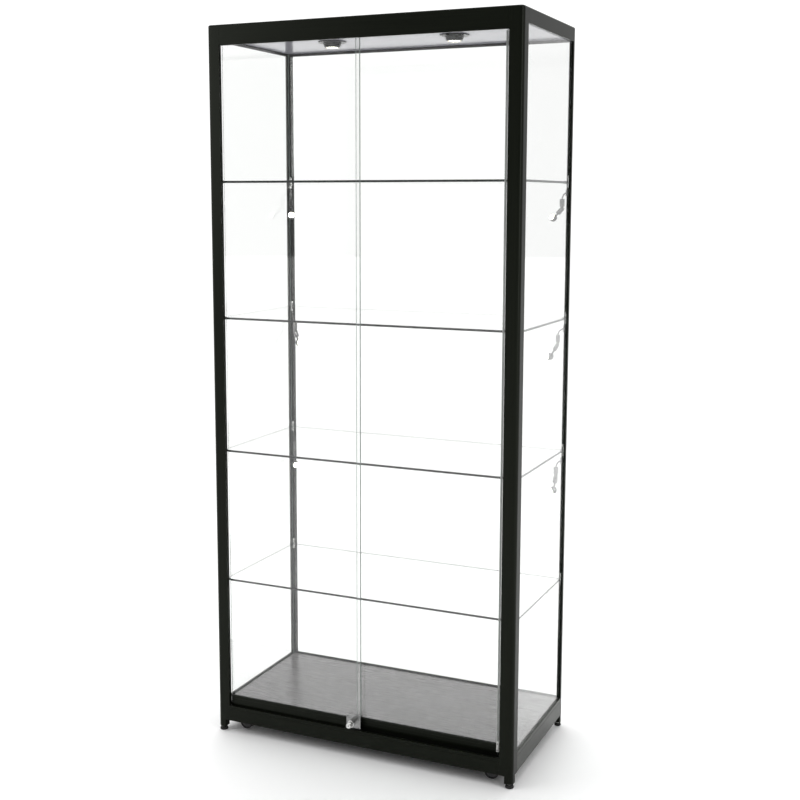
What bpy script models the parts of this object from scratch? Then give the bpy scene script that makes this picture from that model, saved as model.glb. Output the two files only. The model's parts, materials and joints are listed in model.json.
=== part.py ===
"""Freestanding glass showcase cabinet with two sliding glass doors.

A black aluminium frame of four corner posts and eight rails holds clear glass at the
sides and back, four glass shelves, a grey floor board and a grey ceiling board.
Two doors slide past each other in a double track, and the front one carries a push lock.
Two downlights hang under the ceiling and a small spotlight sits on each rear post under
each of the three upper shelves.  Four levelling feet carry the cabinet and four swivel
castors stand just clear of the ground between them.

Frame: +X to the right seen from the front, -Y to the front, +Z up, metres.  The origin is
on the ground, midway between the lock's tip and the back of the frame.
"""
import math

import bmesh
import bpy
from mathutils import Matrix, Vector

# Overall size
WIDTH = 0.900
DEPTH = 0.450
HEIGHT = 2.000
LOCK_REACH = 0.022          # how far the lock stands out in front of the frame
GAP = 0.0003                # clearance between pieces that touch

# Frame
CORNER_RADIUS = 0.012
TOP_ROUNDING = 0.0045       # rounding along the cabinet's upper outside edges
FRONT_CORE = 0.023          # square core of a front post, which runs down as its leg
FRONT_WING = 0.0375         # width of a front post's face
FRONT_WING_THICK = 0.011
SIDE_WING = 0.038           # depth of a front post's outer side
REAR_CORE = 0.012
REAR_WING = 0.0195
REAR_LEG = 0.0195
LIP = 0.005                 # thin wall of posts and rails outside the glass
LEG_BOTTOM = 0.0125
RAIL_BOTTOM = 0.0335
RAIL_DEPTH = 0.0195
SIDE_RAIL_TOP = 0.088       # top of the lip on the lower side and rear rails
GLASS_SEAT = 0.0735         # where the fixed glass and the floor board stand
FRONT_RAIL_TOP = 0.0785
FRONT_LIP = 0.008
LEDGE_BOTTOM = 0.060
LEDGE_TOP = 0.070
TRACK_BACK = 0.036          # back of both door tracks, from the front of the frame
TOP_SIDE_BOTTOM = 1.961
TOP_FRONT_BOTTOM = 1.9445
TOP_GLASS_SEAT = 1.976
HEAD_BOTTOM = 1.985
REBATE = 0.012
REBATE_LEVEL = 1.9957

# Glass and boards
GLASS = 0.005
PANEL_INSET = REAR_CORE + GAP
FLOOR_TOP = 0.084
CEILING_BOTTOM = 1.968
SHELF_THICK = 0.006
SHELF_FRONT = 0.037
FIRST_SHELF = 0.4445        # mid height of the lowest shelf
SHELF_PITCH = 0.3788
SHELF_COUNT = 4

# Doors, from the front of the frame backwards
FRONT_DOOR = 0.016          # mid plane of the left door, which runs in front
REAR_DOOR = 0.029
DOOR_WIDTH = 0.4145
LEFT_DOOR_EDGE = 0.0385     # left edge of the left door, from the cabinet's left side
RIGHT_DOOR_EDGE = 0.4360
DOOR_GLASS_BOTTOM = 0.0800
DOOR_TOP = 1.970
SHOE_BOTTOM = 0.0735
SHOE_TOP = 0.1075
SHOE_WIDTH = 0.010
TRACK_RIBS = ((0.0083, 0.0100), (0.0218, 0.0233), (0.0345, 0.0360))
TRACK_FLOOR = 0.0022
FLOOR_SUPPORT = 0.056       # how far the lower track reaches under the floor board
HEAD_RIB_BOTTOM = 1.950

# Lock on the left door's lower free corner
LOCK_PLATE = (0.412, 0.4548, 0.0790, 0.1180)
LOCK_X = 0.432
LOCK_Z = 0.098
BARREL_RADIUS = 0.0074
BARREL_LENGTH = 0.019

# Lights
DOWNLIGHT_X = 0.1825
LIGHT_AXIS = 0.0155         # swivel axis of a side light, from both outer planes
LIGHT_DROP = 0.0285         # clip below the middle of its shelf
ARM_REACH = 0.018
KNUCKLE_DROP = 0.044
LIGHT_PANS = (45, 30, 60)   # degrees from the rear wall, bottom light to top light
LIGHT_TILTS = (8, 30, 50)   # degrees that each head is swung up, bottom to top

# Feet and castors
FOOT_RADII = {"front": 0.0115, "rear": 0.0095}
STEM_RADIUS = 0.0038
STEM_TOP = 0.030
CASTOR_X = 0.085            # swivel axis from the cabinet's side
CASTOR_DEPTHS = {"front": 0.042, "rear": 0.0555}  # swivel axis from the front or the back
CASTOR_TRAIL = 0.014
CASTOR_STEM = 0.004
CASTOR_STEM_TOPS = {"front": 0.0690, "rear": 0.0800}
CROWN_TOP = 0.0590
WHEEL_RADIUS = 0.020
WHEEL_WIDTH = 0.016
WHEEL_LIFT = 0.0015

FRONT = -(DEPTH - LOCK_REACH) / 2
BACK = FRONT + DEPTH
LEFT = -WIDTH / 2
SIDES = {"left": -1, "right": 1}


# ---------------------------------------------------------------- materials

def material(name, colour, roughness, metallic=0.0, alpha=1.0):
    made = bpy.data.materials.new(name)
    made.use_nodes = True
    shader = made.node_tree.nodes["Principled BSDF"]
    shader.inputs["Base Color"].default_value = (*colour, 1.0)
    shader.inputs["Roughness"].default_value = roughness
    shader.inputs["Metallic"].default_value = metallic
    shader.inputs["Alpha"].default_value = alpha
    made.diffuse_color = (*colour, alpha)
    return made


def make_materials():
    return {
        "frame": material("black_frame", (0.012, 0.014, 0.012), 0.35, 0.4),
        "track": material("black_track", (0.010, 0.011, 0.010), 0.5),
        "glass": material("clear_glass", (0.86, 0.90, 0.88), 0.03, 0.0, 0.3),
        "board": material("grey_laminate", (0.15, 0.15, 0.145), 0.35),
        "ceiling": material("pale_laminate", (0.50, 0.50, 0.53), 0.3),
        "roof": material("black_roof", (0.02, 0.02, 0.02), 0.5),
        "chrome": material("chrome", (0.75, 0.75, 0.75), 0.12, 1.0),
        "lamp": material("lamp_housing", (0.03, 0.03, 0.035), 0.4, 0.6),
        "lens": material("lamp_lens", (0.95, 0.95, 0.85), 0.2),
        "driver": material("driver_case", (0.75, 0.75, 0.75), 0.5),
        "rubber": material("black_rubber", (0.015, 0.015, 0.015), 0.7),
        "plastic": material("black_plastic", (0.02, 0.02, 0.02), 0.45),
    }


# ---------------------------------------------------------------- modelling tools

def add_object(name, mesh, used_material=None, location=(0, 0, 0), turn=0.0):
    made = bpy.data.objects.new(name, mesh)
    if used_material and not mesh.materials:
        mesh.materials.append(used_material)
    made.location = location
    made.rotation_euler = (0, 0, turn)
    bpy.context.collection.objects.link(made)
    return made


def finish_mesh(name, bm, smooth_angle=30):
    bmesh.ops.remove_doubles(bm, verts=bm.verts, dist=0.00001)
    bmesh.ops.recalc_face_normals(bm, faces=bm.faces)
    mesh = bpy.data.meshes.new(name)
    bm.to_mesh(mesh)
    bm.free()
    mesh.shade_smooth()
    mesh.set_sharp_from_angle(angle=math.radians(smooth_angle))
    return mesh


def lay(point, along, axis):
    """Put a 2-D point and its place along an axis into three dimensions."""
    first, second = point
    if axis == "X":
        return Vector((along, first, second))
    if axis == "Y":
        return Vector((first, along, second))
    return Vector((first, second, along))


def prism(outline, axis, start, end, is_rounded=None):
    """A straight extrusion of a closed outline, with the edges that a test picks rounded."""
    bm = bmesh.new()
    near = [bm.verts.new(lay(p, start, axis)) for p in outline]
    far = [bm.verts.new(lay(p, end, axis)) for p in outline]
    count = len(outline)
    for i in range(count):
        j = (i + 1) % count
        bm.faces.new((near[i], near[j], far[j], far[i]))
    bm.faces.new(near)
    bm.faces.new(far)
    bmesh.ops.recalc_face_normals(bm, faces=bm.faces)
    if is_rounded:
        rim = [e for e in bm.edges if is_rounded(e)]
        bmesh.ops.bevel(bm, geom=rim, offset=TOP_ROUNDING, segments=4, affect="EDGES", profile=0.5)
    return finish_mesh("prism", bm)


def box(low, high):
    outline = [(low[0], low[1]), (high[0], low[1]), (high[0], high[1]), (low[0], high[1])]
    return prism(outline, "Z", low[2], high[2])


def lathe(profile, steps=32):
    """Turn a profile of (radius, height) points about Z.

    A profile that starts and ends on the axis makes a solid, any other one a ring.
    """
    bm = bmesh.new()
    rings = []
    for radius, height in profile:
        if radius == 0:
            rings.append([bm.verts.new((0, 0, height))])
            continue
        turns = [2 * math.pi * k / steps for k in range(steps)]
        rings.append([bm.verts.new((radius * math.cos(t), radius * math.sin(t), height)) for t in turns])
    pairs = list(zip(rings, rings[1:]))
    if len(rings[0]) > 1:
        pairs.append((rings[-1], rings[0]))
    for low, high in pairs:
        for k in range(steps):
            n = (k + 1) % steps
            if len(low) == 1:
                bm.faces.new((low[0], high[n], high[k]))
            elif len(high) == 1:
                bm.faces.new((low[k], low[n], high[0]))
            else:
                bm.faces.new((low[k], low[n], high[n], high[k]))
    return finish_mesh("lathe", bm)


def cylinder(radius, low, high, steps=20):
    return lathe([(0, low), (radius, low), (radius, high), (0, high)], steps)


def tube(points, radius, sides=8):
    """A round rod through a list of points in the XZ plane."""
    bm = bmesh.new()
    rings = []
    for i, point in enumerate(points):
        before = points[max(i - 1, 0)]
        after = points[min(i + 1, len(points) - 1)]
        ahead = (Vector(after) - Vector(before)).normalized()
        across = Vector((0, 1, 0))
        up = ahead.cross(across)
        ring = []
        for k in range(sides):
            t = 2 * math.pi * k / sides
            ring.append(bm.verts.new(Vector(point) + radius * (math.cos(t) * across + math.sin(t) * up)))
        rings.append(ring)
    for low, high in zip(rings, rings[1:]):
        for k in range(sides):
            n = (k + 1) % sides
            bm.faces.new((low[k], low[n], high[n], high[k]))
    bm.faces.new(rings[0])
    bm.faces.new(rings[-1])
    return finish_mesh("tube", bm)


def moved(mesh, matrix):
    mesh.transform(matrix)
    return mesh


def combine(first, others, operation="UNION"):
    """Join or cut solid meshes into one closed body."""
    base = add_object("working", first)
    for other in others:
        tool = add_object("tool", other)
        step = base.modifiers.new("step", "BOOLEAN")
        step.operation = operation
        step.object = tool
        step.solver = "EXACT"
    graph = bpy.context.evaluated_depsgraph_get()
    result = bpy.data.meshes.new_from_object(base.evaluated_get(graph))
    tools = [step.object for step in base.modifiers]
    for used in [base, *tools]:
        bpy.data.objects.remove(used)
    result.materials.clear()
    bm = bmesh.new()
    bm.from_mesh(result)
    return finish_mesh("combined", bm)


def arc(centre, radius, start, end, steps):
    """Points on a circle, from one angle in degrees to another."""
    points = []
    for k in range(steps + 1):
        t = math.radians(start + (end - start) * k / steps)
        points.append((centre[0] + radius * math.cos(t), centre[1] + radius * math.sin(t)))
    return points


# ---------------------------------------------------------------- frame

def at_corner(points, side, end):
    """Turn distances from a corner's two outer planes into X and Y."""
    placed = []
    for inward, along in points:
        x = side * (WIDTH / 2 - inward)
        y = FRONT + along if end == "front" else BACK - along
        placed.append((x, y))
    return placed


def outer_corner():
    """The rounded outside corner of a post, as distances from its outer planes."""
    return arc((CORNER_RADIUS, CORNER_RADIUS), CORNER_RADIUS, 180, 270, 6)


def on_outside(point):
    """True for a point on the cabinet's outer planes or on a post's rounded corner."""
    inward = WIDTH / 2 - abs(point.x)
    along = min(point.y - FRONT, BACK - point.y)
    if min(inward, along) < 1e-6:
        return True
    from_centre = math.hypot(inward - CORNER_RADIUS, along - CORNER_RADIUS)
    return max(inward, along) < CORNER_RADIUS and abs(from_centre - CORNER_RADIUS) < 1e-6


def is_outer_rim(edge):
    """True for the edges along a post's top that lie on the cabinet's outside."""
    return all(abs(v.co.z - HEIGHT) < 1e-6 and on_outside(v.co) for v in edge.verts)


def front_post(side):
    wings = outer_corner() + [
        (FRONT_WING, 0), (FRONT_WING, FRONT_WING_THICK), (FRONT_CORE, FRONT_WING_THICK),
        (FRONT_CORE, FRONT_CORE), (LIP, FRONT_CORE), (LIP, SIDE_WING), (0, SIDE_WING)]
    core = outer_corner() + [(FRONT_CORE, 0), (FRONT_CORE, FRONT_CORE), (0, FRONT_CORE)]
    upper = prism(at_corner(wings, side, "front"), "Z", RAIL_BOTTOM, HEIGHT, is_outer_rim)
    leg = prism(at_corner(core, side, "front"), "Z", LEG_BOTTOM, RAIL_BOTTOM + 0.004)
    return upper, leg, FRONT_CORE / 2


def rear_post(side):
    wings = outer_corner() + [
        (REAR_WING, 0), (REAR_WING, LIP), (REAR_CORE, LIP),
        (REAR_CORE, REAR_CORE), (LIP, REAR_CORE), (LIP, REAR_WING), (0, REAR_WING)]
    core = outer_corner() + [(REAR_LEG, 0), (REAR_LEG, REAR_LEG), (0, REAR_LEG)]
    upper = prism(at_corner(wings, side, "rear"), "Z", RAIL_BOTTOM, HEIGHT, is_outer_rim)
    leg = prism(at_corner(core, side, "rear"), "Z", LEG_BOTTOM, RAIL_BOTTOM)
    overlap = REAR_CORE - 0.001
    inside = [(0.004, 0.004), (overlap, 0.004), (overlap, overlap), (0.004, overlap)]
    key = prism(at_corner(inside, side, "rear"), "Z", LEG_BOTTOM + 0.004, RAIL_BOTTOM + 0.004)
    return upper, combine(leg, [key]), REAR_LEG / 2


def make_posts(mats):
    bore_radius = STEM_RADIUS + GAP
    for end, build in (("front", front_post), ("rear", rear_post)):
        for word, side in SIDES.items():
            upper, leg, centre = build(side)
            body = combine(upper, [leg])
            x, y = at_corner([(centre, centre)], side, end)[0]
            bore = moved(cylinder(bore_radius, LEG_BOTTOM - 0.002, STEM_TOP + 0.002),
                         Matrix.Translation((x, y, 0)))
            add_object(f"{end}_{word}_post", combine(body, [bore], "DIFFERENCE"), mats["frame"])


def rounded_top(inner_points):
    """A top rail's outline: its rounded outside edge, then the given inner points."""
    centre = (TOP_ROUNDING, HEIGHT - TOP_ROUNDING)
    return arc(centre, TOP_ROUNDING, 90, 180, 4) + inner_points


def side_top_outline():
    return rounded_top([
        (0, TOP_SIDE_BOTTOM), (LIP, TOP_SIDE_BOTTOM), (LIP, TOP_GLASS_SEAT),
        (RAIL_DEPTH, TOP_GLASS_SEAT), (RAIL_DEPTH, REBATE_LEVEL),
        (REBATE, REBATE_LEVEL), (REBATE, HEIGHT)])


def side_bottom_outline():
    return [(0, RAIL_BOTTOM), (RAIL_DEPTH, RAIL_BOTTOM), (RAIL_DEPTH, GLASS_SEAT),
            (LIP, GLASS_SEAT), (LIP, SIDE_RAIL_TOP), (0, SIDE_RAIL_TOP)]


def make_rails(mats):
    rear_start = LEFT + REAR_WING + GAP
    front_start = LEFT + FRONT_WING + GAP
    run = (FRONT + SIDE_WING + GAP, BACK - REAR_WING - GAP)
    for level, outline in (("top", side_top_outline()), ("bottom", side_bottom_outline())):
        rear = [(BACK - depth, z) for depth, z in outline]
        add_object(f"{level}_rear_rail", prism(rear, "X", rear_start, -rear_start), mats["frame"])
        for word, side in SIDES.items():
            across = [(side * (WIDTH / 2 - depth), z) for depth, z in outline]
            add_object(f"{level}_{word}_rail", prism(across, "Y", *run), mats["frame"])

    top_front = rounded_top([
        (0, TOP_FRONT_BOTTOM), (FRONT_LIP, TOP_FRONT_BOTTOM), (FRONT_LIP, HEAD_BOTTOM),
        (TRACK_BACK, HEAD_BOTTOM), (TRACK_BACK, REBATE_LEVEL),
        (TRACK_BACK - FRONT_LIP, REBATE_LEVEL), (TRACK_BACK - FRONT_LIP, HEIGHT)])
    bottom_front = [
        (0, RAIL_BOTTOM), (FRONT_LIP, RAIL_BOTTOM), (FRONT_LIP, LEDGE_BOTTOM),
        (FLOOR_SUPPORT, LEDGE_BOTTOM), (FLOOR_SUPPORT, LEDGE_TOP), (FRONT_LIP, LEDGE_TOP),
        (FRONT_LIP, FRONT_RAIL_TOP), (0, FRONT_RAIL_TOP)]
    for name, outline in (("top_front_rail", top_front), ("bottom_front_rail", bottom_front)):
        placed = [(FRONT + depth, z) for depth, z in outline]
        rail = prism(placed, "X", front_start, -front_start)
        if name == "bottom_front_rail":
            rail = combine(rail, castor_bores("front", LEDGE_BOTTOM - 0.002, LEDGE_TOP + 0.002), "DIFFERENCE")
        add_object(name, rail, mats["frame"])


# ---------------------------------------------------------------- glass and boards

def mirrored_outline(left_half):
    """A closed outline from its left half, given as distances from the left and a Y."""
    left = [(LEFT + inward, y) for inward, y in left_half]
    return left + [(-x, y) for x, y in reversed(left)]


def board_outline():
    """Floor and ceiling: behind the door tracks, and round the front posts' cores."""
    post_edge = FRONT + FRONT_CORE + GAP
    return mirrored_outline([
        (FRONT_WING, FRONT + TRACK_BACK + GAP), (FRONT_WING, post_edge),
        (PANEL_INSET, post_edge), (PANEL_INSET, BACK - PANEL_INSET)])


def roof_outline():
    """The roof fills the rebates of the top rails and closes round the posts."""
    wing, core, lip = FRONT_WING, FRONT_CORE + GAP, LIP + GAP
    rear = REAR_CORE + GAP
    front_corner = [
        (wing, TRACK_BACK - FRONT_LIP + GAP), (wing, FRONT_WING_THICK + GAP),
        (core, FRONT_WING_THICK + GAP), (core, core), (lip, core), (lip, SIDE_WING),
        (REBATE + GAP, SIDE_WING)]
    rear_corner = [(REBATE + GAP, REAR_WING), (lip, REAR_WING), (lip, rear), (rear, rear),
                   (rear, lip), (REAR_WING, lip), (REAR_WING, REBATE + GAP)]
    return mirrored_outline([(inward, FRONT + depth) for inward, depth in front_corner]
                            + [(inward, BACK - depth) for inward, depth in rear_corner])


def make_panels(mats):
    inner = WIDTH / 2 - PANEL_INSET
    floor = prism(board_outline(), "Z", GLASS_SEAT + GAP, FLOOR_TOP)
    sockets = castor_bores("rear", GLASS_SEAT - 0.002, CASTOR_STEM_TOPS["rear"] + GAP)
    add_object("floor_panel", combine(floor, sockets, "DIFFERENCE"), mats["board"])

    lamp_holes = []
    for side in SIDES.values():
        hole = cylinder(0.0285, CEILING_BOTTOM - 0.002, TOP_GLASS_SEAT + 0.002, 32)
        lamp_holes.append(moved(hole, Matrix.Translation((side * DOWNLIGHT_X, lamp_line(), 0))))
    ceiling = prism(board_outline(), "Z", CEILING_BOTTOM, TOP_GLASS_SEAT - GAP)
    add_object("ceiling_panel", combine(ceiling, lamp_holes, "DIFFERENCE"), mats["ceiling"])

    roof = prism(roof_outline(), "Z", REBATE_LEVEL + GAP, HEIGHT)
    gland_hole = moved(cylinder(0.0073, REBATE_LEVEL - 0.01, HEIGHT + 0.01), gland_place())
    add_object("roof_panel", combine(roof, [gland_hole], "DIFFERENCE"), mats["roof"])

    low, high = GLASS_SEAT + GAP, TOP_GLASS_SEAT - GAP
    seat = LIP + GAP
    back = box((-inner, BACK - seat - GLASS, low), (inner, BACK - seat, high))
    add_object("back_glass", back, mats["glass"])
    for word, side in SIDES.items():
        faces = sorted((side * (WIDTH / 2 - seat), side * (WIDTH / 2 - seat - GLASS)))
        pane = box((faces[0], FRONT + FRONT_CORE + GAP, low), (faces[1], BACK - PANEL_INSET, high))
        add_object(f"{word}_side_glass", pane, mats["glass"])

    for i in range(SHELF_COUNT):
        middle = FIRST_SHELF + i * SHELF_PITCH
        shelf = box((-inner + 0.0005, FRONT + SHELF_FRONT, middle - SHELF_THICK / 2),
                    (inner - 0.0005, BACK - PANEL_INSET - 0.002, middle + SHELF_THICK / 2))
        add_object(f"glass_shelf_{i + 1}", shelf, mats["glass"])


# ---------------------------------------------------------------- doors and lock

def track_outline(base_low, base_high, rib_end, base_reach):
    """The E-shaped section of a double door track, ribs first."""
    points = [(TRACK_RIBS[0][0], base_low)]
    for start, end in TRACK_RIBS:
        points += [(start, rib_end)] if start == TRACK_RIBS[0][0] else [(start, base_high), (start, rib_end)]
        points += [(end, rib_end)]
        if end != TRACK_RIBS[-1][1]:
            points += [(end, base_high)]
    if base_reach > TRACK_RIBS[-1][1]:
        points += [(TRACK_RIBS[-1][1], base_high), (base_reach, base_high)]
    points += [(base_reach, base_low)]
    return [(FRONT + depth, z) for depth, z in points]


def make_tracks(mats):
    start = LEFT + FRONT_WING + GAP
    lower_low = LEDGE_TOP + GAP
    lower = track_outline(lower_low, lower_low + TRACK_FLOOR, FRONT_RAIL_TOP, FLOOR_SUPPORT)
    add_object("door_bottom_track", prism(lower, "X", start, -start), mats["track"])
    upper_high = HEAD_BOTTOM - GAP
    upper = track_outline(upper_high, upper_high - TRACK_FLOOR, HEAD_RIB_BOTTOM, TRACK_RIBS[-1][1])
    add_object("door_head_track", prism(upper, "X", start, -start), mats["track"])


def make_doors(mats):
    wall = (SHOE_WIDTH - GLASS) / 2 - GAP
    for word, edge, plane in (("left", LEFT_DOOR_EDGE, FRONT_DOOR), ("right", RIGHT_DOOR_EDGE, REAR_DOOR)):
        x0 = LEFT + edge
        x1 = x0 + DOOR_WIDTH
        y = FRONT + plane
        pane = box((x0, y - GLASS / 2, DOOR_GLASS_BOTTOM), (x1, y + GLASS / 2, DOOR_TOP))
        add_object(f"{word}_door_glass", pane, mats["glass"])
        half = SHOE_WIDTH / 2
        shoe = [(y - half, SHOE_BOTTOM), (y + half, SHOE_BOTTOM), (y + half, SHOE_TOP),
                (y + half - wall, SHOE_TOP), (y + half - wall, DOOR_GLASS_BOTTOM - GAP),
                (y - half + wall, DOOR_GLASS_BOTTOM - GAP), (y - half + wall, SHOE_TOP),
                (y - half, SHOE_TOP)]
        add_object(f"{word}_door_shoe", prism(shoe, "X", x0, x1), mats["track"])


def make_lock(mats):
    x0, x1, z0, z1 = LOCK_PLATE
    plate_back = FRONT + FRONT_DOOR - SHOE_WIDTH / 2 - GAP
    plate_front = FRONT + FRONT_LIP
    door_edge = LEFT + LEFT_DOOR_EDGE + DOOR_WIDTH
    plate = box((LEFT + x0, plate_front, z0), (LEFT + x1, plate_back, z1))
    hook = box((door_edge + GAP, plate_front, z0),
               (LEFT + x1, FRONT + FRONT_DOOR + SHOE_WIDTH / 2, z1))
    forward = Matrix.Translation((LEFT + LOCK_X, FRONT, LOCK_Z)) @ Matrix.Rotation(math.pi / 2, 4, "X")
    sleeve_tip = 0.010
    sleeve = moved(cylinder(0.010, -FRONT_LIP - 0.001, sleeve_tip, 24), forward)
    bore = moved(cylinder(BARREL_RADIUS + GAP, -FRONT_LIP + 0.001, sleeve_tip + 0.002, 24), forward)
    body = combine(combine(plate, [hook, sleeve]), [bore], "DIFFERENCE")
    add_object("lock_body", body, mats["chrome"])

    tip = LOCK_REACH
    barrel = lathe([(0, tip - BARREL_LENGTH), (BARREL_RADIUS, tip - BARREL_LENGTH),
                    (BARREL_RADIUS, tip - 0.001), (BARREL_RADIUS - 0.001, tip), (0, tip)], 24)
    barrel.transform(Matrix.Rotation(math.pi / 2, 4, "X"))
    add_object("lock_barrel", barrel, mats["chrome"], (LEFT + LOCK_X, FRONT, LOCK_Z))


# ---------------------------------------------------------------- lights

def lamp_line():
    """Y of the downlights, halfway between the front and back of the frame."""
    return (FRONT + BACK) / 2


def gland_place():
    return Matrix.Translation((LEFT + 0.12, BACK - 0.05, 0))


def make_ceiling_lights(mats):
    low = CEILING_BOTTOM - GAP
    housing_profile = [
        (0, 1.990), (0.028, 1.990), (0.028, low), (0.040, low), (0.040, low - 0.0022),
        (0.0265, low - 0.0022), (0.0205, low - 0.0165), (0.0180, low - 0.0165),
        (0.0180, low - 0.0070), (0, low - 0.0070)]
    lens_profile = [(0, low - 0.0148), (0.0130, low - 0.0142), (0.0177, low - 0.0125),
                    (0.0177, low - 0.0073), (0, low - 0.0073)]
    for word, side in SIDES.items():
        place = (side * DOWNLIGHT_X, lamp_line(), 0)
        add_object(f"{word}_downlight_housing", lathe(housing_profile, 32), mats["lamp"], place)
        add_object(f"{word}_downlight_lens", lathe(lens_profile, 24), mats["lens"], place)

    driver = box((-0.080, lamp_line() - 0.020, TOP_GLASS_SEAT), (0.080, lamp_line() + 0.020, 1.992))
    add_object("led_driver", driver, mats["driver"])
    gland = moved(lathe([(0.003, 1.988), (0.007, 1.988), (0.007, HEIGHT), (0.003, HEIGHT)], 20),
                  gland_place())
    add_object("cable_gland", gland, mats["plastic"])


def light_arm():
    """Swivelling arm: a barrel on the swivel axis, a bent rod, a stem block and a knuckle."""
    barrel = cylinder(0.004, -0.007, 0.007, 12)
    bend = [(0, 0, 0), (0.006, 0, -0.0005), (0.012, 0, -0.0035), (0.0165, 0, -0.0095),
            (ARM_REACH, 0, -0.020)]
    rod = tube(bend, 0.002)
    block = box((ARM_REACH - 0.005, -0.005, -0.0385), (ARM_REACH + 0.005, 0.005, -0.017))
    tongue = box((ARM_REACH - 0.003, -0.003, -KNUCKLE_DROP), (ARM_REACH + 0.003, 0.003, -0.037))
    knuckle = moved(cylinder(0.0035, -0.003, 0.003, 12),
                    Matrix.Translation((ARM_REACH, 0, -KNUCKLE_DROP)) @ Matrix.Rotation(math.pi / 2, 4, "X"))
    return combine(barrel, [rod, block, tongue, knuckle])


def light_head():
    """Tilting head: a forked loop round the knuckle, a short stem and a drum-shaped lamp."""
    outside = 0.0055
    inside = 0.003 + GAP
    cheeks = []
    for face in (-1, 1):
        y0, y1 = sorted((face * inside, face * outside))
        cheek = [(0.0035, 0.0035), (-0.0035, 0.0035), (-0.0045, -0.018), (0.0045, -0.018)]
        cheeks.append(prism(cheek, "Y", y0, y1))
    bridge = box((-0.0045, -outside, -0.0200), (0.0045, outside, -0.0165))
    stem = cylinder(0.0025, -0.034, -0.019, 8)
    drum_profile = [(0, -0.006), (0.006, -0.0075), (0.0095, -0.004), (0.010, 0.0080),
                    (0.0088, 0.0080), (0.0088, 0.0050), (0, 0.0050)]
    aim = Matrix.Translation((0.001, 0, -0.040)) @ Matrix.Rotation(math.radians(115), 4, "Y")
    drum = moved(lathe(drum_profile, 20), aim)
    return combine(cheeks[0], [bridge, cheeks[1], stem, drum])


def make_side_lights(mats):
    arm_mesh = light_arm()
    head_mesh = light_head()
    for level, (pan, tilt) in enumerate(zip(LIGHT_PANS, LIGHT_TILTS)):
        height = FIRST_SHELF + (level + 1) * SHELF_PITCH - LIGHT_DROP
        for word, side in SIDES.items():
            x = side * (WIDTH / 2 - LIGHT_AXIS)
            y = BACK - LIGHT_AXIS
            heading = math.radians(-pan) if side < 0 else math.radians(180 + pan)
            name = f"{word}_light_{level + 1}"
            add_object(f"{name}_arm", arm_mesh, mats["chrome"], (x, y, height), heading)
            reach = Vector((ARM_REACH, 0, -KNUCKLE_DROP))
            reach.rotate(Matrix.Rotation(heading, 3, "Z"))
            head = add_object(f"{name}_head", head_mesh, mats["chrome"], Vector((x, y, height)) + reach)
            swing = Matrix.Rotation(heading, 3, "Z") @ Matrix.Rotation(math.radians(-tilt), 3, "Y")
            head.rotation_euler = swing.to_euler()


# ---------------------------------------------------------------- feet and castors

def make_feet(mats):
    for end, radius in FOOT_RADII.items():
        profile = [
            (0, 0), (radius - 0.001, 0), (radius, 0.001), (radius, 0.0055), (radius - 0.0015, 0.0075),
            (0.0065, 0.0085), (0.0065, LEG_BOTTOM - GAP), (STEM_RADIUS, LEG_BOTTOM - GAP),
            (STEM_RADIUS, STEM_TOP), (0, STEM_TOP)]
        centre = (FRONT_CORE if end == "front" else REAR_LEG) / 2
        for word, side in SIDES.items():
            x, y = at_corner([(centre, centre)], side, end)[0]
            add_object(f"{end}_{word}_foot", lathe(profile, 20), mats["rubber"], (x, y, 0))


def castor_places():
    places = {}
    for end in ("front", "rear"):
        for word, side in SIDES.items():
            places[f"{end}_{word}"] = at_corner([(CASTOR_X, CASTOR_DEPTHS[end])], side, end)[0]
    return places


def castor_bores(end, low, high):
    """Cutters for the holes that the stems of one end's castors turn in."""
    bores = []
    for name, (x, y) in castor_places().items():
        if name.startswith(end):
            bores.append(moved(cylinder(CASTOR_STEM + GAP, low, high), Matrix.Translation((x, y, 0))))
    return bores


def castor_fork(end):
    """Swivelling fork with its stem on the local Z axis and the axle behind it along X.

    The front forks bear on the ledge of the front rail and the rear ones on the floor board.
    """
    axle = WHEEL_LIFT + WHEEL_RADIUS
    boss_top = (LEDGE_BOTTOM if end == "front" else GLASS_SEAT + GAP) - GAP
    stem_top = CASTOR_STEM_TOPS[end]
    crown = lathe([(0, 0.0550), (0.0120, 0.0550), (0.0130, 0.0560), (0.0130, CROWN_TOP - 0.0005),
                   (0.0125, CROWN_TOP), (0.0070, CROWN_TOP), (0.0070, boss_top), (CASTOR_STEM, boss_top),
                   (CASTOR_STEM, stem_top), (0, stem_top)], 20)
    inside = WHEEL_WIDTH / 2 + 0.0012
    outside = inside + 0.002
    parts = []
    for face in (-1, 1):
        y0, y1 = sorted((face * inside, face * outside))
        foot = arc((CASTOR_TRAIL, axle), 0.0055, -180, 0, 6)
        leg = foot + [(0.0095, 0.0565), (-0.0055, 0.0565)]
        parts.append(prism(leg, "Y", y0, y1))
    bridge = box((-0.0055, -outside, 0.0535), (0.0095, outside, 0.0570))
    pin = moved(cylinder(0.0025, -outside - 0.0008, outside + 0.0008, 16),
                Matrix.Translation((CASTOR_TRAIL, 0, axle)) @ Matrix.Rotation(math.pi / 2, 4, "X"))
    return combine(crown, [bridge, *parts, pin])


def castor_wheel():
    half = WHEEL_WIDTH / 2
    rim = WHEEL_RADIUS - 0.0035
    dish = half - 0.002
    profile = [
        (0.0028, -half), (0.006, -half), (0.0075, -dish), (rim - 0.0015, -dish), (rim, -half),
        (WHEEL_RADIUS, -half + 0.002), (WHEEL_RADIUS, half - 0.002), (rim, half),
        (rim - 0.0015, dish), (0.0075, dish), (0.006, half), (0.0028, half)]
    wheel = lathe(profile, 28)
    wheel.transform(Matrix.Rotation(math.pi / 2, 4, "X"))
    return wheel


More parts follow.
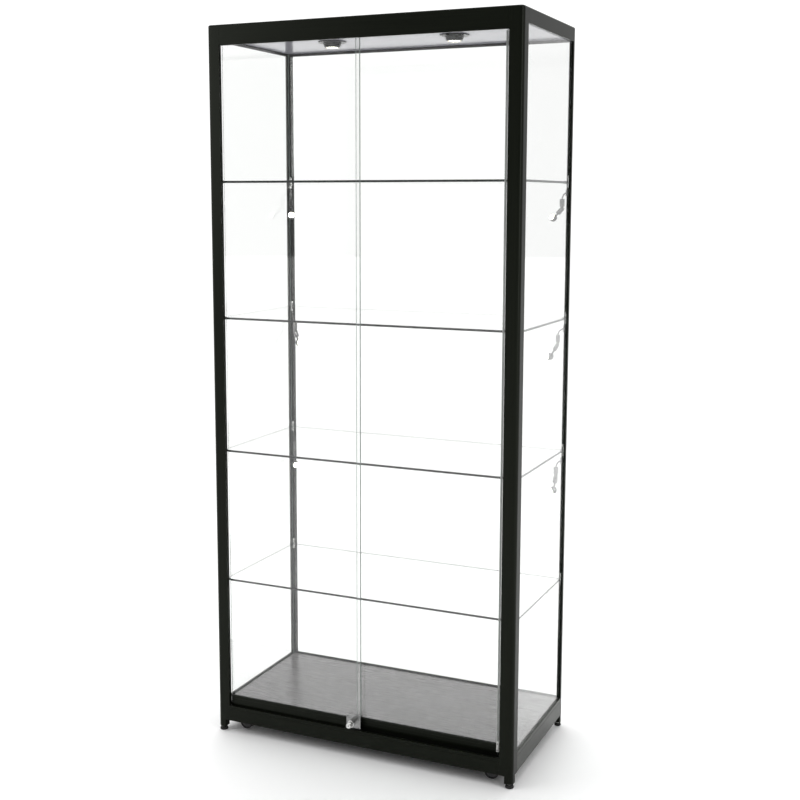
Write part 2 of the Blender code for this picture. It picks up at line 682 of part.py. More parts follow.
def make_castors(mats):
    forks = {end: castor_fork(end) for end in ("front", "rear")}
    wheel = castor_wheel()
    for name, (x, y) in castor_places().items():
        heading = 0.0 if x > 0 else math.pi
        fork = forks[name.split("_")[0]]
        add_object(f"{name}_castor_fork", fork, mats["plastic"], (x, y, 0), heading)
        trail = CASTOR_TRAIL if x > 0 else -CASTOR_TRAIL
        place = (x + trail, y, WHEEL_LIFT + WHEEL_RADIUS)
        add_object(f"{name}_castor_wheel", wheel, mats["rubber"], place, heading)


for old in list(bpy.data.objects):
    bpy.data.objects.remove(old)
materials = make_materials()
make_posts(materials)
make_rails(materials)
make_panels(materials)
make_tracks(materials)
make_doors(materials)
make_lock(materials)
make_ceiling_lights(materials)
make_side_lights(materials)
make_feet(materials)
make_castors(materials)
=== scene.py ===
"""A black framed glass showcase with sliding doors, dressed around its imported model."""
import json
import math

import bmesh
import bpy
from mathutils import Matrix, Vector


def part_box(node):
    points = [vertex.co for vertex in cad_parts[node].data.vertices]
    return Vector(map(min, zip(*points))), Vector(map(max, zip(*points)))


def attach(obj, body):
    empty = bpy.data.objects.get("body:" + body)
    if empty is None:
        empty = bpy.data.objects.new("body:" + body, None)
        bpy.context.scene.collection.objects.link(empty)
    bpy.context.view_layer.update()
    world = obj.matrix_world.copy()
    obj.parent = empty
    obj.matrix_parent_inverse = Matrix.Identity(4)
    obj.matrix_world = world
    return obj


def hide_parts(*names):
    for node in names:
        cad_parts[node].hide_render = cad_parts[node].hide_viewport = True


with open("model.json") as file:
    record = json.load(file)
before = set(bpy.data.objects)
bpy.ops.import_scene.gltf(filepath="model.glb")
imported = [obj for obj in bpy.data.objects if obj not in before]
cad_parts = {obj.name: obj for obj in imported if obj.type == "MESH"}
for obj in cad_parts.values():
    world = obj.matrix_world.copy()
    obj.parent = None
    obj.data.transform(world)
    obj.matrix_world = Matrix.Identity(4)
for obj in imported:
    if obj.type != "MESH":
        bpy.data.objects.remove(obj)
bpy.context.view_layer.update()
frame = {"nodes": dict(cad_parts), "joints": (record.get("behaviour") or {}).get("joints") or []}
scene = bpy.context.scene

# ---------------- viewer
# A standing viewer's eye, to the right of the cabinet and at three quarters of its height.
lens = bpy.data.cameras.new("viewer")
lens.lens, lens.sensor_width = 55.38, 36.0
lens.shift_x, lens.shift_y = 0.0117, -0.0453
lens.clip_end = 100.0
viewer = bpy.data.objects.new("viewer", lens)
eye = (1.41955, -3.12126, 1.53327)
yaw, pitch, roll = 0.42646, -0.13265, 0.00152
viewer.matrix_world = (
    Matrix.Translation(eye)
    @ Matrix.Rotation(yaw, 4, "Z")
    @ Matrix.Rotation(math.pi / 2 + pitch, 4, "X")
    @ Matrix.Rotation(roll, 4, "Z"))
scene.collection.objects.link(viewer)
scene.camera = viewer

# ---------------- studio
# A white room that is brightest overhead and dimmer at the right and behind the viewer, with a
# pale floor.  A tall soft panel stands at the right and a wide one at the left.
scene.view_settings.view_transform = "Standard"
scene.cycles.max_bounces = 24
scene.cycles.transmission_bounces = 20
scene.cycles.transparent_max_bounces = 32

room = bpy.data.worlds.new("white_room")
room.use_nodes = True
scene.world = room
room_nodes, wire = room.node_tree.nodes, room.node_tree.links.new
direction = room_nodes.new("ShaderNodeTexCoord")
split = room_nodes.new("ShaderNodeSeparateXYZ")
wire(direction.outputs["Generated"], split.inputs[0])
shares, limits = [], ("From Min", "From Max", "To Min", "To Max")
for axis, low, high, dim, bright in (
        ("X", -0.05, 0.4, 1.0, 0.5), ("Y", -0.7, 0.2, 0.30, 1.0), ("Z", 0.25, 0.9, 1.16, 2.35)):
    share = room_nodes.new("ShaderNodeMapRange")
    for socket, value in zip(limits, (low, high, dim, bright)):
        share.inputs[socket].default_value = value
    wire(split.outputs[axis], share.inputs["Value"])
    shares.append(share)
strength = shares[0].outputs["Result"]
for share in shares[1:]:
    together = room_nodes.new("ShaderNodeMath")
    together.operation = "MULTIPLY"
    wire(strength, together.inputs[0])
    wire(share.outputs["Result"], together.inputs[1])
    strength = together.outputs[0]
wire(strength, room_nodes["Background"].inputs["Strength"])
room_nodes["Background"].inputs["Color"].default_value = (1, 1, 1, 1)

floor_mesh = bpy.data.meshes.new("studio_floor")
floor_shape = bmesh.new()
bmesh.ops.create_circle(floor_shape, cap_ends=True, segments=96, radius=30.0)
floor_shape.to_mesh(floor_mesh)
floor_shape.free()
studio_floor = bpy.data.objects.new("studio_floor", floor_mesh)
scene.collection.objects.link(studio_floor)
pale = bpy.data.materials.new("pale_floor")
pale.use_nodes = True
pale_shader = pale.node_tree.nodes["Principled BSDF"]
pale_shader.inputs["Base Color"].default_value = (0.95, 0.95, 0.95, 1)
pale_shader.inputs["Roughness"].default_value = 0.6
floor_mesh.materials.append(pale)

for name, place, aim, size, power in (
        ("right_panel", (3.4, -1.4, 1.9), (0.3, 0, 1.0), (0.5, 2.6), 30),
        ("left_panel", (-2.6, -2.6, 2.2), (0, 0, 1.0), (1.2, 1.8), 20)):
    panel = bpy.data.lights.new(name, "AREA")
    panel.shape, panel.size, panel.size_y, panel.energy = "RECTANGLE", size[0], size[1], power
    lamp = bpy.data.objects.new(name, panel)
    lamp.location = place
    lamp.rotation_euler = (Vector(aim) - Vector(place)).to_track_quat("-Z", "Y").to_euler()
    scene.collection.objects.link(lamp)

# ---------------- posts
# Four drawn aluminium posts, anodised black.  Each has a large round on its outside corner.
# The front pair is wider.


def surface(name, dark, light, gloss, stretch, sockets, relief=0.0, smudges=0.0):
    """A finish whose colour, gloss and relief follow one noise, stretched as it was worked."""
    made = bpy.data.materials.new(name)
    made.use_nodes = True
    nodes, wire = made.node_tree.nodes, made.node_tree.links.new
    shader = nodes["Principled BSDF"]
    for socket, value in sockets.items():
        shader.inputs[socket].default_value = value
    place = nodes.new("ShaderNodeTexCoord")
    worked = nodes.new("ShaderNodeMapping")
    worked.inputs["Scale"].default_value = stretch
    grain = nodes.new("ShaderNodeTexNoise")
    grain.inputs["Scale"].default_value = 1.0
    grain.inputs["Detail"].default_value = 4.0
    tones = nodes.new("ShaderNodeValToRGB")
    for element, spot, tone in zip(tones.color_ramp.elements, (0.3, 0.7), (dark, light)):
        element.position, element.color = spot, (*tone, 1)
    shine = nodes.new("ShaderNodeMapRange")
    shine.inputs["To Min"].default_value, shine.inputs["To Max"].default_value = gloss
    wire(place.outputs["Object"], worked.inputs["Vector"])
    wire(worked.outputs["Vector"], grain.inputs["Vector"])
    wire(grain.outputs["Fac"], tones.inputs["Fac"])
    wire(tones.outputs["Color"], shader.inputs["Base Color"])
    wire(grain.outputs["Fac"], shine.inputs["Value"])
    gloss_out = shine.outputs["Result"]
    if smudges:
        wiped = nodes.new("ShaderNodeTexNoise")
        wiped.inputs["Scale"].default_value = 9.0
        wiped.inputs["Detail"].default_value = 2.0
        added = nodes.new("ShaderNodeMath")
        added.operation = "MULTIPLY_ADD"
        added.inputs[1].default_value = smudges
        wire(place.outputs["Object"], wiped.inputs["Vector"])
        wire(wiped.outputs["Fac"], added.inputs[0])
        wire(gloss_out, added.inputs[2])
        gloss_out = added.outputs[0]
    wire(gloss_out, shader.inputs["Roughness"])
    if relief:
        raised_grain = nodes.new("ShaderNodeBump")
        raised_grain.inputs["Strength"].default_value = 1.0
        raised_grain.inputs["Distance"].default_value = relief
        wire(grain.outputs["Fac"], raised_grain.inputs["Height"])
        wire(raised_grain.outputs["Normal"], shader.inputs["Normal"])
    return made


def node_tree(name, *sizes):
    """An empty geometry tree with named inputs, and its two ends."""
    made = bpy.data.node_groups.new(name, "GeometryNodeTree")
    made.interface.new_socket("Geometry", in_out="INPUT", socket_type="NodeSocketGeometry")
    for title, kind in sizes:
        made.interface.new_socket(title, in_out="INPUT", socket_type=f"NodeSocket{kind}")
    made.interface.new_socket("Geometry", in_out="OUTPUT", socket_type="NodeSocketGeometry")
    return made, made.nodes.new("NodeGroupInput"), made.nodes.new("NodeGroupOutput")


def close_tree(tree, start, end, shape):
    """End a tree in plain geometry with one finish."""
    plain = tree.nodes.new("GeometryNodeRealizeInstances")
    painted = tree.nodes.new("GeometryNodeSetMaterial")
    tree.links.new(shape, plain.inputs[0])
    tree.links.new(plain.outputs[0], painted.inputs["Geometry"])
    tree.links.new(start.outputs["Finish"], painted.inputs["Material"])
    tree.links.new(painted.outputs[0], end.inputs[0])


def show(name, mesh):
    made = bpy.data.objects.new(name, mesh)
    scene.collection.objects.link(made)
    return made


def applied(piece):
    """The mesh that a piece's modifiers give."""
    graph = bpy.context.evaluated_depsgraph_get()
    return bpy.data.meshes.new_from_object(piece.evaluated_get(graph))


crease = math.radians(32)


def smooth(mesh):
    """Close a shell, turn its faces outwards and shade its rounds as rounds, its flats as flats."""
    shell = bmesh.new()
    shell.from_mesh(mesh)
    bmesh.ops.remove_doubles(shell, verts=shell.verts, dist=0.000002)
    bmesh.ops.recalc_face_normals(shell, faces=shell.faces)
    shell.to_mesh(mesh)
    shell.free()
    mesh.shade_smooth()
    mesh.set_sharp_from_angle(angle=crease)
    holder = show("holder", mesh)
    weighted = holder.modifiers.new("weighted", "WEIGHTED_NORMAL")
    weighted.keep_sharp = True
    done = applied(holder)
    bpy.data.objects.remove(holder)
    return done


def settle(name, mesh, tree, values):
    """Run a tree on a mesh and keep the result as a plain mesh."""
    holder = show("holder", mesh)
    step = holder.modifiers.new("made", "NODES")
    step.node_group = tree
    for item in tree.interface.items_tree:
        if item.in_out == "INPUT" and item.name in values:
            step[item.identifier] = values[item.name]
    made = applied(holder)
    bpy.data.objects.remove(holder)
    made.name = name
    return made


drawing, drawn_from, drawn_to = node_tree("drawn_section", ("Run", "Vector"),
                                          ("Finish", "Material"))
pushed = drawing.nodes.new("GeometryNodeExtrudeMesh")
pushed.inputs["Individual"].default_value = False
turned_face = drawing.nodes.new("GeometryNodeFlipFaces")
both = drawing.nodes.new("GeometryNodeJoinGeometry")
welded = drawing.nodes.new("GeometryNodeMergeByDistance")
welded.inputs["Distance"].default_value = 0.000002
wire = drawing.links.new
wire(drawn_from.outputs["Geometry"], pushed.inputs["Mesh"])
wire(drawn_from.outputs["Run"], pushed.inputs["Offset"])
wire(drawn_from.outputs["Geometry"], turned_face.inputs[0])
wire(pushed.outputs["Mesh"], both.inputs[0])
wire(turned_face.outputs[0], both.inputs[0])
wire(both.outputs[0], welded.inputs["Geometry"])
close_tree(drawing, drawn_from, drawn_to, welded.outputs[0])


def softened(corners):
    """A closed outline in which each corner (x, y, radius) is rounded by its own radius."""
    outline = []
    for i, (x, y, radius) in enumerate(corners):
        here = Vector((x, y))
        if not radius:
            outline.append(here)
            continue
        before = (Vector(corners[i - 1][:2]) - here).normalized()
        after = (Vector(corners[(i + 1) % len(corners)][:2]) - here).normalized()
        half = before.angle(after) / 2
        centre = here + (before + after).normalized() * (radius / math.sin(half))
        first = here + before * (radius / math.tan(half)) - centre
        last = here + after * (radius / math.tan(half)) - centre
        start = math.atan2(first.y, first.x)
        sweep = (math.atan2(last.y, last.x) - start + math.pi) % (2 * math.pi) - math.pi
        steps = 10 if radius > 0.003 else 3
        for k in range(steps + 1):
            turn = start + sweep * k / steps
            outline.append(centre + radius * Vector((math.cos(turn), math.sin(turn))))
    return outline


def draw_out(name, outline, axis, start, end, finish):
    """Draw a section out along an axis, as a die draws a bar, and keep the solid's mesh."""
    face = bmesh.new()
    lay = {"X": lambda p: (start, p[0], p[1]), "Y": lambda p: (p[0], start, p[1]),
           "Z": lambda p: (p[0], p[1], start)}[axis]
    face.faces.new([face.verts.new(lay(p)) for p in outline])
    section = bpy.data.meshes.new(name)
    face.to_mesh(section)
    face.free()
    run = [(end - start) * (axis == letter) for letter in "XYZ"]
    return settle(name, section, drawing, {"Run": run, "Finish": finish})


def joined(name, *meshes):
    """One mesh with the shells and finishes of several."""
    holders = [show("holder", mesh) for mesh in meshes]
    with bpy.context.temp_override(active_object=holders[0], selected_editable_objects=holders,
                                   selected_objects=holders):
        bpy.ops.object.join()
    made = holders[0].data
    bpy.data.objects.remove(holders[0])
    made.name = name
    return made


def fit(name, mesh, body, slot, *nodes):
    """Put a finished mesh on its body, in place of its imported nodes."""
    piece = show(name, mesh)
    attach(piece, body)
    if nodes:
        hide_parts(*nodes)
    return piece


left, front, leg_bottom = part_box("front_left_post")[0]
right, back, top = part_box("rear_right_post")[1]


def at_corner(outline, end, word):
    """Turn distances from a corner's two outer planes into X and Y."""
    placed = []
    for inward, along in outline:
        x = right - inward if word == "right" else left + inward
        placed.append((x, front + along if end == "front" else back - along))
    return placed


def black_aluminium(name, stretch, shine=0.13):
    return surface(name, (0.0016, 0.0022, 0.0010), (0.0036, 0.0046, 0.0026), (0.24, 0.34), stretch,
                   {"Specular IOR Level": shine, "Specular Tint": (0.93, 1.0, 0.86, 1)},
                   relief=0.00001, smudges=0.06)


post_finish = black_aluminium("black_post", (900, 900, 5))
corner_round = 0.012
rim_round = 0.0045
sections = {
    "front": [(0, 0, corner_round), (0.0375, 0, 0), (0.0375, 0.011, 0), (0.023, 0.011, 0.0004),
              (0.023, 0.023, 0.0004), (0.005, 0.023, 0), (0.005, 0.038, 0), (0, 0.038, 0)],
    "rear": [(0, 0, corner_round), (0.0195, 0, 0), (0.0195, 0.005, 0), (0.012, 0.005, 0),
             (0.012, 0.012, 0.0008), (0.005, 0.012, 0), (0.005, 0.0195, 0), (0, 0.0195, 0)]}


def drawn_in(outline, depth):
    """A post's section with only its two outer faces and the round between them drawn in."""
    moved, hair, centre = [], 1e-6, Vector((corner_round, corner_round))
    for inward, along in outline:
        spot = Vector((inward, along))
        if inward + along < corner_round * 1.2 and max(spot) < corner_round + hair:
            spot = centre + (spot - centre) * (1 - depth / corner_round)
        elif inward < hair:
            spot.x = depth
        elif along < hair:
            spot.y = depth
        moved.append(spot)
    return moved


def lofted(name, rings, finish):
    """A solid skinned over a stack of outlines with the same number of points."""
    skin = bmesh.new()
    levels = [[skin.verts.new(spot) for spot in ring] for ring in rings]
    for lower, upper in zip(levels, levels[1:]):
        for k in range(len(lower)):
            skin.faces.new((lower[k - 1], lower[k], upper[k], upper[k - 1]))
    skin.faces.new(levels[0][::-1])
    skin.faces.new(levels[-1])
    mesh = bpy.data.meshes.new(name)
    skin.to_mesh(mesh)
    skin.free()
    mesh.materials.append(finish)
    return mesh


leg_sides = {"front": 0.023, "rear": 0.0195}
foot_of_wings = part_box("bottom_left_rail")[0].z

for end in ("front", "rear"):
    for word in ("left", "right"):
        rings = [[(*spot, foot_of_wings) for spot in at_corner(softened(sections[end]), end, word)]]
        for k in range(7):
            turn = k * math.pi / 12
            inset = drawn_in(softened(sections[end]), rim_round * (1 - math.cos(turn)))
            height = top - rim_round * (1 - math.sin(turn))
            rings.append([(*spot, height) for spot in at_corner(inset, end, word)])
        upper = lofted("upper", rings, post_finish)
        side = leg_sides[end]
        core = at_corner(softened([(0, 0, corner_round), (side, 0, 0.0005), (side, side, 0.0005),
                                   (0, side, 0.0005)]), end, word)
        leg = draw_out("leg", core, "Z", leg_bottom, foot_of_wings, post_finish)
        fit(f"{end}_{word}_corner_post", joined("post", smooth(upper), smooth(leg)), "cabinet",
            "frame", f"{end}_{word}_post")

# ---------------- rails
# Eight drawn rails between the posts, in the same black.  The outside upper edge of the top ones
# is rounded, and the lower ones carry a thin lip in front of the glass.
rail_finishes = {"X": black_aluminium("black_cross_rail", (5, 900, 900)),
                 "Y": black_aluminium("black_side_rail", (900, 5, 900))}
lip, rail_depth, rebate = 0.005, 0.0195, 0.012
glass_seat, lip_top = 0.0735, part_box("bottom_left_rail")[1].z
head_low, head_seat, roof_seat = 1.961, 1.976, 1.9957


def seam(level):
    """A fine groove along a rail's outer face."""
    return [(0, level + 0.0005, 0.0004), (0.0006, level, 0), (0, level - 0.0005, 0.0004)]


top_section = softened([
    (0, top, rim_round), (0, head_low, 0.0004), (lip, head_low, 0.0004), (lip, head_seat, 0),
    (rail_depth, head_seat, 0), (rail_depth, roof_seat, 0), (rebate, roof_seat, 0),
    (rebate, top, 0.0004)])
low_section = softened([
    (0, foot_of_wings, 0.0010), (rail_depth, foot_of_wings, 0.0005), (rail_depth, glass_seat, 0),
    (lip, glass_seat, 0), (lip, lip_top, 0.0005), (0, lip_top, 0.0008), *seam(0.0775)])
low_finish = black_aluminium("black_low_rail", (900, 5, 900), 0.40)
for level, section in (("top", top_section), ("bottom", low_section)):
    for word in ("left", "right"):
        node = f"{level}_{word}_rail"
        low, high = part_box(node)
        across = [(right - d if word == "right" else left + d, z) for d, z in section]
        finish = low_finish if level == "bottom" else rail_finishes["Y"]
        fit(f"{level}_{word}_bar", smooth(draw_out(node, across, "Y", low.y, high.y, finish)),
            "cabinet", "frame", node)
    node = f"{level}_rear_rail"
    low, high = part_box(node)
    across = [(back - d, z) for d, z in section]
    fit(f"{level}_rear_bar", smooth(draw_out(node, across, "X", low.x, high.x, rail_finishes["X"])),
        "cabinet", "frame", node)

front_lip, roof_edge, track_back, ledge_back = 0.008, 0.028, 0.036, 0.056
ledge_low, ledge_top, sill_top, head_edge, track_seat = 0.060, 0.070, 0.0785, 1.9445, 1.985
front_sections = {
    "top_front": [
        (0, top, rim_round), (0, head_edge, 0.0006), (front_lip, head_edge, 0.0006),
        (front_lip, track_seat, 0), (track_back, track_seat, 0), (track_back, roof_seat, 0),
        (roof_edge, roof_seat, 0), (roof_edge, top, 0.0004)],
    "bottom_front": [
        (0, foot_of_wings, 0.0010), (front_lip, foot_of_wings, 0.0005), (front_lip, ledge_low, 0),
        (ledge_back, ledge_low, 0), (ledge_back, ledge_top, 0), (front_lip, ledge_top, 0),
        (front_lip, sill_top, 0.0005), (0, sill_top, 0.0010), *seam(0.0705)]}
for name, section in front_sections.items():
    low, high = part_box(f"{name}_rail")
    across = [(front + d, z) for d, z in softened(section)]
    fit(f"{name}_bar", smooth(draw_out(name, across, "X", low.x, high.x, rail_finishes["X"])),
        "cabinet", "frame", f"{name}_rail")

# ---------------- boards
# A dark grey laminated floor board, a paler and glossier ceiling board, and a thin black roof.
# Round black rubber seals are pressed into the gaps between the boards and the glass.


def give(node, finish):
    """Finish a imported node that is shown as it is."""
    mesh = frame["nodes"][node].data
    mesh.materials.clear()
    mesh.materials.append(finish)


give("floor_panel", surface(
    "grey_laminate", (0.112, 0.103, 0.107), (0.134, 0.124, 0.129), (0.20, 0.28), (22, 420, 420),
    {"Specular IOR Level": 0.5}, relief=0.00002, smudges=0.06))
give("ceiling_panel", surface(
    "pale_laminate", (0.42, 0.41, 0.47), (0.47, 0.46, 0.53), (0.10, 0.16), (22, 420, 420),
    {"Specular IOR Level": 0.6}, relief=0.00002, smudges=0.05))
give("roof_panel", surface(
    "painted_sheet", (0.010, 0.011, 0.010), (0.016, 0.017, 0.015), (0.42, 0.55), [240] * 3,
    {"Specular IOR Level": 0.3}, relief=0.00004))

swept, swept_from, swept_to = node_tree("swept_bead", ("Radius", "Float"), ("Finish", "Material"))
threaded = swept.nodes.new("GeometryNodeMeshToCurve")
round_section = swept.nodes.new("GeometryNodeCurvePrimitiveCircle")
round_section.inputs["Resolution"].default_value = 12
skin = swept.nodes.new("GeometryNodeCurveToMesh")
skin.inputs["Fill Caps"].default_value = True
wire = swept.links.new
wire(swept_from.outputs["Geometry"], threaded.inputs["Mesh"])
wire(swept_from.outputs["Radius"], round_section.inputs["Radius"])
wire(threaded.outputs["Curve"], skin.inputs["Curve"])
wire(round_section.outputs["Curve"], skin.inputs["Profile Curve"])
close_tree(swept, swept_from, swept_to, skin.outputs["Mesh"])


def bead(name, radius, finish, *paths, closed=False):
    """Round strips laid along several paths, kept as one mesh."""
    lines = bmesh.new()
    for path in paths:
        spots = [lines.verts.new(spot) for spot in path]
        for pair in zip(spots, spots[1:] + spots[:1] if closed else spots[1:]):
            lines.edges.new(pair)
    thread = bpy.data.meshes.new(name)
    lines.to_mesh(thread)
    lines.free()
    return smooth(settle(name, thread, swept, {"Radius": radius, "Finish": finish}))


black_rubber = surface("black_rubber", [0.010] * 3, [0.018] * 3, (0.50, 0.68), [420] * 3,
                       {"Specular IOR Level": 0.35}, relief=0.00004)
floor_top, ceiling_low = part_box("floor_panel")[1].z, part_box("ceiling_panel")[0].z
inner_side, inner_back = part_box("right_side_glass")[0].x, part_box("back_glass")[0].y
seal_x, seal_y = inner_side - 0.0010, inner_back - 0.0010
seal_front, seal_rear, seal_side = front + 0.0235, 0.2230, 0.4370
for name, level in (("floor_seals", floor_top - 0.0012), ("ceiling_seals", ceiling_low + 0.0012)):
    runs = [[(x, seal_front, level), (x, seal_rear, level)] for x in (-seal_x, seal_x)]
    runs.append([(-seal_side, seal_y, level), (seal_side, seal_y, level)])
    fit(name, bead(name, 0.0009, black_rubber, *runs), "cabinet", "rubber")

# ---------------- fixed glass
# Three clear toughened panes slid into the frame, at the back and both sides, with ground edges.
# A fine black bead seals each one inside, and a pale strip closes it against the front posts.
clear_glass = surface("clear_glass", (0.986, 0.992, 0.986), (0.990, 0.995, 0.990), (0.0, 0.0),
                      [3] * 3, {"Transmission Weight": 1.0, "IOR": 1.5}, relief=0.000006)
glass_nodes, wire = clear_glass.node_tree.nodes, clear_glass.node_tree.links.new
through = glass_nodes.new("ShaderNodeBsdfTransparent")
through.inputs["Color"].default_value = (0.93, 0.95, 0.94, 1)
ray = glass_nodes.new("ShaderNodeLightPath")
either = glass_nodes.new("ShaderNodeMixShader")
wire(ray.outputs["Is Shadow Ray"], either.inputs[0])
wire(glass_nodes["Principled BSDF"].outputs[0], either.inputs[1])
wire(through.outputs[0], either.inputs[2])
wire(either.outputs[0], glass_nodes["Material Output"].inputs["Surface"])


def ground_edge(name, dark, light):
    return surface(name, dark, light, (0.16, 0.30), [60] * 3, {"Specular IOR Level": 0.25},
                   relief=0.00002)


pale_edge = ground_edge("pale_edge", (0.22, 0.27, 0.25), (0.32, 0.37, 0.35))
grey_edge = ground_edge("grey_edge", (0.012, 0.018, 0.015), (0.026, 0.036, 0.031))
green_edge = ground_edge("green_edge", (0.006, 0.016, 0.011), (0.012, 0.028, 0.020))


def plate(name, outline, axis, start, end, *edges, arris=0.0004):
    """A glass plate with ground arrises, whose edges take the finish that faces their way."""
    blank = draw_out(name, outline, axis, start, end, clear_glass)
    for _, finish in edges:
        blank.materials.append(finish)
    letter = "XYZ".index(axis)
    shape = bmesh.new()
    shape.from_mesh(blank)
    shape.normal_update()
    rims = [edge for edge in shape.edges
            if abs(edge.link_faces[0].normal[letter]) + abs(edge.link_faces[1].normal[letter]) > 0.9
            and edge.calc_face_angle(0) > 0.5]
    bmesh.ops.bevel(shape, geom=rims, offset=arris, segments=1, affect="EDGES")
    shape.normal_update()
    for face in shape.faces:
        if abs(face.normal[letter]) < 0.95:
            scores = [Vector(way).dot(face.normal) for way, _ in edges]
            face.material_index = 1 + scores.index(max(scores))
    shape.to_mesh(blank)
    shape.free()
    return smooth(blank)


def rectangle(a0, b0, a1, b1):
    return [Vector((a0, b0)), Vector((a1, b0)), Vector((a1, b1)), Vector((a0, b1))]


ways = ((1, 0, 0), (-1, 0, 0), (0, 1, 0), (0, -1, 0), (0, 0, 1), (0, 0, -1))
pane_edges = [(way, pale_edge) for way in ways]
for word in ("left", "right"):
    low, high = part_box(f"{word}_side_glass")
    outline = rectangle(low.y, low.z, high.y, high.z)
    fit(f"{word}_side_pane", plate("pane", outline, "X", low.x, high.x, *pane_edges), "cabinet",
        "glass", f"{word}_side_glass")
low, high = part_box("back_glass")
outline = rectangle(low.x, low.z, high.x, high.z)
fit("back_pane", plate("pane", outline, "Y", low.y, high.y, *pane_edges), "cabinet", "glass",
    "back_glass")

bead_x, bead_y = inner_side - 0.0008, inner_back - 0.0008
bead_front, bead_rear, bead_side = front + 0.0238, 0.2232, 0.4372
bead_low, bead_high = floor_top + 0.0008, ceiling_low - 0.0008
rings = [[(x, bead_front, bead_low), (x, bead_rear, bead_low), (x, bead_rear, bead_high),
          (x, bead_front, bead_high)] for x in (-bead_x, bead_x)]
rings.append([(x, bead_y, z) for x, z in rectangle(-bead_side, bead_low, bead_side, bead_high)])
fit("pane_beads", bead("pane_beads", 0.0007, black_rubber, *rings, closed=True), "cabinet",
    "rubber")

pale_vinyl = surface("pale_vinyl", (0.36, 0.38, 0.36), (0.48, 0.50, 0.48), (0.25, 0.40),
                     (30, 30, 4), {"Transmission Weight": 0.35, "IOR": 1.46}, relief=0.00003)
strip_low, strip_top = lip_top + 0.0003, head_low - 0.0003
strip_line = [(0.4449, 0.0382), (0.4466, 0.0382), (0.4462, 0.0396), (0.4449, 0.0400)]
for word, side in (("left", -1), ("right", 1)):
    strip = softened([(side * x, front + inward, 0.0003) for x, inward in strip_line])
    strip_mesh = draw_out("strip", strip, "Z", strip_low, strip_top, pale_vinyl)
    fit(f"{word}_post_strip", smooth(strip_mesh), "cabinet", "plastic")

# ---------------- shelves
# Four clear glass shelves with polished edges and small chamfers across their corners.
# Their long front edges show the deep green of thick glass.
for i in range(1, 5):
    low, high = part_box(f"glass_shelf_{i}")
    snip, nick = 0.0040, 0.0012
    outline = [Vector(p) for p in (
        (low.x + nick, low.y), (high.x - nick, low.y), (high.x, low.y + nick),
        (high.x, high.y - snip), (high.x - snip, high.y), (low.x + snip, high.y),
        (low.x, high.y - snip), (low.x, low.y + nick))]
    shelf = plate("shelf", outline, "Z", low.z, high.z, ((0, -1, 0), green_edge),
                  ((1, 0, 0), grey_edge), ((-1, 0, 0), grey_edge), ((0, 1, 0), grey_edge))
    fit(f"shelf_{i}", shelf, "cabinet", "glass", f"glass_shelf_{i}")

# ---------------- shelf clips
# Sixteen folded chrome clips, each a strap screwed twice to a post, with a short shelf-bearing tab,
# a clamping tab above it and clear pads against the glass.
# Painted shade: this chrome's colour is far darker than bright chrome's, so the lamps, rings,
# brackets and small screws come out dim instead of mirroring the white room.
chrome = surface("shade_darkened_chrome", [0.19] * 3, [0.27] * 3, (0.05, 0.10), [220] * 3,
                 {"Metallic": 1.0}, relief=0.000004, smudges=0.06)
bright_chrome = surface("bright_chrome", (0.58, 0.58, 0.57), (0.80, 0.80, 0.79), (0.05, 0.12),
                        [220] * 3, {"Metallic": 1.0}, relief=0.000004, smudges=0.05)
clear_pad = surface("clear_pad", (0.80, 0.82, 0.81), (0.90, 0.91, 0.90), (0.20, 0.30), [200] * 3,
                    {"Transmission Weight": 0.7, "IOR": 1.45}, relief=0.00001)


def block(name, low, high, finish, ease=0.0003, segments=2):
    """A box with eased edges."""
    shape = bmesh.new()
    bmesh.ops.create_cube(shape, size=1.0)
    low, high = Vector(low), Vector(high)
    size = high - low
    bmesh.ops.transform(shape, verts=shape.verts,
                        matrix=Matrix.LocRotScale((low + high) / 2, None, size))
    bmesh.ops.bevel(shape, geom=shape.edges, offset=min(ease, min(size) * 0.4), segments=segments,
                    affect="EDGES", profile=0.5)
    mesh = bpy.data.meshes.new(name)
    shape.to_mesh(mesh)
    shape.free()
    mesh.materials.append(finish)
    return smooth(mesh)


def turned(name, profile, finish, steps=32, ring=False):
    """Turn a profile of (radius, height) points about Z.  A ring's profile closes on itself."""
    shape = bmesh.new()
    spots = [shape.verts.new((radius, 0, height)) for radius, height in profile]
    for pair in zip(spots, spots[1:] + spots[:1] if ring else spots[1:]):
        shape.edges.new(pair)
    bmesh.ops.spin(shape, geom=shape.verts[:] + shape.edges[:], axis=(0, 0, 1), cent=(0, 0, 0),
                   steps=steps, angle=2 * math.pi, use_merge=True)
    mesh = bpy.data.meshes.new(name)
    shape.to_mesh(mesh)
    shape.free()
    mesh.materials.append(finish)
    return smooth(mesh)


def placed(mesh, *matrices):
    """The mesh moved by one matrix after another, first to last."""
    for matrix in matrices:
        mesh.transform(matrix)
    return mesh


def screw_head(name, radius, rise, finish):
    """A raised screw head on a washer, with its drive recess, sitting on Z = 0."""
    washer = [(0, 0), (1.35, 0), (1.35, 0.25), (1.2, 0.35), (0, 0.35)]
    dome = [(0, 0.2), (1, 0.2), (1, 0.5), (0.85, 0.8), (0.5, 1), (0.42, 0.72), (0, 0.70)]
    return joined(name, *(turned(name, [(radius * out, rise * up) for out, up in line], finish, 20)
                          for line in (washer, dome)))


